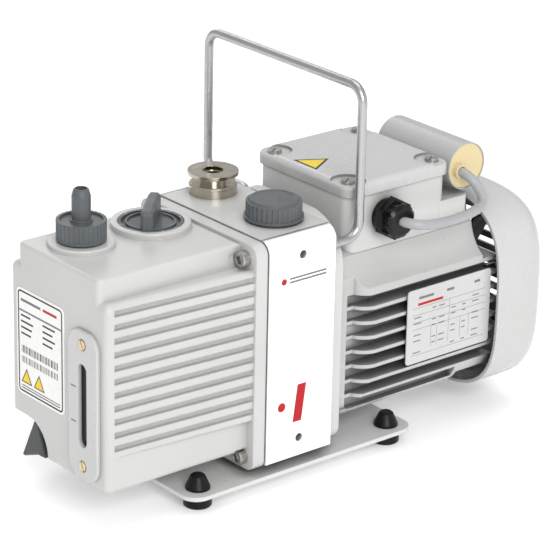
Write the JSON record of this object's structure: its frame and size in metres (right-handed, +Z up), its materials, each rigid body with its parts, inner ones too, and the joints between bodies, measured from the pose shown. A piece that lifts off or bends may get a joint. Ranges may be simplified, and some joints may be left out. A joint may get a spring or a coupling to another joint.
{
  "type": "rotary vane vacuum pump",
  "caption": "Oil-sealed rotary vane vacuum pump with a ribbed oil box, finned motor, terminal box, capacitor, wire lifting handle, inlet flange and outlet hose nozzle on a footed base plate.",
  "frame": {"origin": "bottom centre of the object's box without its lead, on the surface that the rubber feet stand on", "axes": "+Z up; +X along the shaft from the oil box towards the fan; -Y towards the side with the sight glass, gland and nameplate"},
  "size_m": [0.3244, 0.1631, 0.2316],
  "materials": {
    "casting_grey": "satin",
    "panel_white": "gloss",
    "handle_steel": "bright",
    "screw_steel": "satin",
    "screw_brass": "satin",
    "inlet_steel": "turned",
    "knob_grey": "moulded",
    "plug_black": "moulded",
    "rubber_black": "matte",
    "label_white": "printed film",
    "nameplate_metal": "etched",
    "window_glass": "clear",
    "can_grey": "satin",
    "boot_cream": "moulded",
    "lead_grey": "extruded",
    "iron_inner": "machined",
    "vane_composite": "ground",
    "rotor_steel": "ground",
    "winding_copper": "varnished",
    "fan_plastic": "moulded",
    "spider_rubber": "matte"
  },
  "bodies": {
    "pump": {"ballast_seal": "rubber_black", "base_plate": "casting_grey", "base_screws": "screw_steel", "bearing_outers": "rotor_steel", "cable_gland": "plug_black", "capacitor_boot": "boot_cream", "capacitor_bracket": "screw_steel", "capacitor_can": "can_grey", "capacitor_lead": "lead_grey", "centre_plate": "iron_inner", "discharge_valve": "rotor_steel", "fan_cover": "casting_grey", "fan_cover_screws": "screw_steel", "fan_cover_spacers": "casting_grey", "handle": "handle_steel", "hv_stator": "iron_inner", "id_label": "label_white", "inlet_flange": "inlet_steel", "inlet_strainer": "inlet_steel", "lid_screws": "screw_steel", "lv_stator": "iron_inner", "motor_flange": "casting_grey", "motor_frame": "casting_grey", "motor_gasket": "rubber_black", "nameplate": "nameplate_metal", "oil_box": "casting_grey", "oil_box_gasket": "rubber_black", "oil_box_screws": "screw_steel", "outlet_nozzle": "knob_grey", "outlet_seal": "rubber_black", "pump_body": "casting_grey", "pump_end_cover": "iron_inner", "rear_shield": "casting_grey", "rubber_feet": "rubber_black", "shaft_seal": "rubber_black", "side_panel_far": "panel_white", "side_panel_near": "panel_white", "sight_glass_bezel": "casting_grey", "sight_glass_screws": "screw_brass", "sight_glass_window": "window_glass", "stator_core": "iron_inner", "stator_windings": "winding_copper", "terminal_block": "fan_plastic", "terminal_box": "casting_grey", "terminal_lid": "casting_grey"},
    "shaft": {"pump_rotor": "rotor_steel", "hv_vanes": "vane_composite", "lv_vanes": "vane_composite", "coupling_hub_pump": "rotor_steel", "coupling_spider": "spider_rubber", "coupling_hub_motor": "rotor_steel", "motor_rotor": "rotor_steel", "bearing_inners": "rotor_steel", "cooling_fan": "fan_plastic"},
    "bearing_balls": {"bearing_cages": "rotor_steel"},
    "ballast_valve": {"ballast_knob": "knob_grey"},
    "filler_seal": {"filler_cap_seal": "rubber_black"},
    "filler_cap": {"filler_cap": "knob_grey"},
    "drain_seal": {"drain_plug_seal": "rubber_black"},
    "drain_plug": {"drain_plug": "plug_black"}
  },
  "joints": [
    {"name": "shaft_spin", "type": "hinge", "parent": "pump", "child": "shaft", "pos_m": [-0.0258, -0.01587, 0.076], "axis": [1, 0, 0], "continuous": true},
    {"name": "bearing_roll", "type": "hinge", "parent": "pump", "child": "bearing_balls", "pos_m": [-0.0258, -0.01587, 0.076], "axis": [1, 0, 0], "continuous": true},
    {"name": "ballast_turn", "type": "hinge", "parent": "pump", "child": "ballast_valve", "pos_m": [-0.0861, -0.00347, 0.1525], "axis": [0, 0, 1], "range_deg": [0, 90]},
    {"name": "filler_lift", "type": "slide", "parent": "pump", "child": "filler_seal", "axis": [0, 0, 1], "range_m": [0, 0.005]},
    {"name": "filler_unscrew", "type": "hinge", "parent": "filler_seal", "child": "filler_cap", "pos_m": [-0.0253, -0.03887, 0.1525], "axis": [0, 0, 1], "range_deg": [0, 900]},
    {"name": "drain_travel", "type": "slide", "parent": "pump", "child": "drain_seal", "axis": [-1, 0, 0], "range_m": [0, 0.004]},
    {"name": "drain_unscrew", "type": "hinge", "parent": "drain_seal", "child": "drain_plug", "pos_m": [-0.1443, 0.01463, 0.029], "axis": [-1, 0, 0], "range_deg": [0, 720]}
  ],
  "couplings": [
    {"joint": "bearing_roll", "follows": "shaft_spin", "ratio": 0.42},
    {"joint": "filler_lift", "follows": "filler_unscrew", "m_per_rad": 0.00031831},
    {"joint": "drain_travel", "follows": "drain_unscrew", "m_per_rad": 0.00031831}
  ]
}
